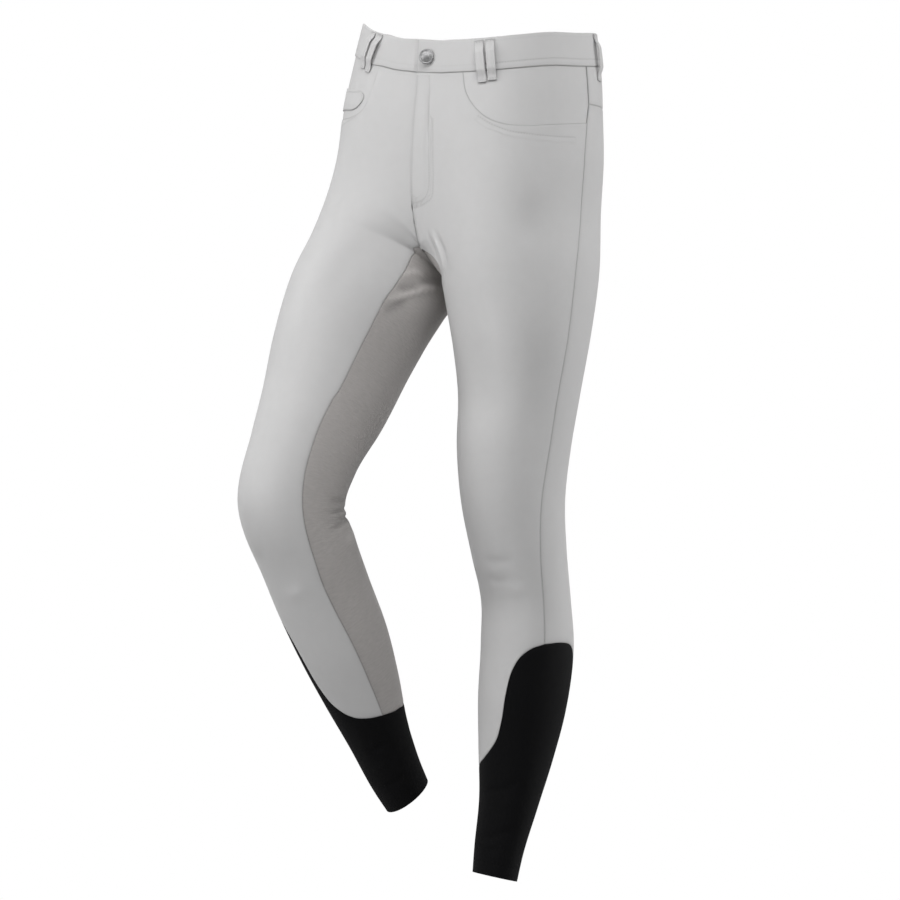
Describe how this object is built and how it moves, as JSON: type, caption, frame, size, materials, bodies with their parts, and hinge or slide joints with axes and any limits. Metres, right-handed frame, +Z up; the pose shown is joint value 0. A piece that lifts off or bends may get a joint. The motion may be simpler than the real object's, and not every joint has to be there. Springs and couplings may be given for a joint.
{
  "type": "riding breeches",
  "caption": "Full-seat riding breeches, filled out in a bent-knee riding stance, with a button waistband, scoop pockets and dark stretch cuffs.",
  "frame": {"origin": "centre of the waist opening, at the height of the waist edge in the middle of the front-to-back slope", "axes": "+Z up out of the waist; the front of the breeches faces -Y; the wearer's left side is +X"},
  "size_m": [0.3267, 0.4158, 1.0002],
  "materials": {
    "main_cloth": "light grey matte stretch woven cloth, faint sheen",
    "grip_cloth": "taupe-grey brushed full-seat grip cloth with fine short printed streaks",
    "stretch_cloth": "near-black fine-knit stretch cloth, matte",
    "button_metal": "dark antique metal, satin"
  },
  "bodies": {
    "root": {"front_left": "main_cloth", "front_right": "main_cloth", "back_left": "main_cloth", "back_right": "main_cloth", "yoke_left": "main_cloth", "yoke_right": "main_cloth", "pocket_facing_left": "main_cloth", "pocket_facing_right": "main_cloth", "coin_pocket": "main_cloth", "waistband_left": "main_cloth", "waistband_right": "main_cloth", "seat_left": "grip_cloth", "seat_right": "grip_cloth", "cuff_left": "stretch_cloth", "cuff_right": "stretch_cloth", "loop_front_left_a": "main_cloth", "loop_front_left_b": "main_cloth", "loop_front_right_a": "main_cloth", "loop_front_right_b": "main_cloth", "loop_side_left": "main_cloth", "loop_side_right": "main_cloth", "loop_back": "main_cloth", "button": "button_metal"}
  },
  "joints": []
}
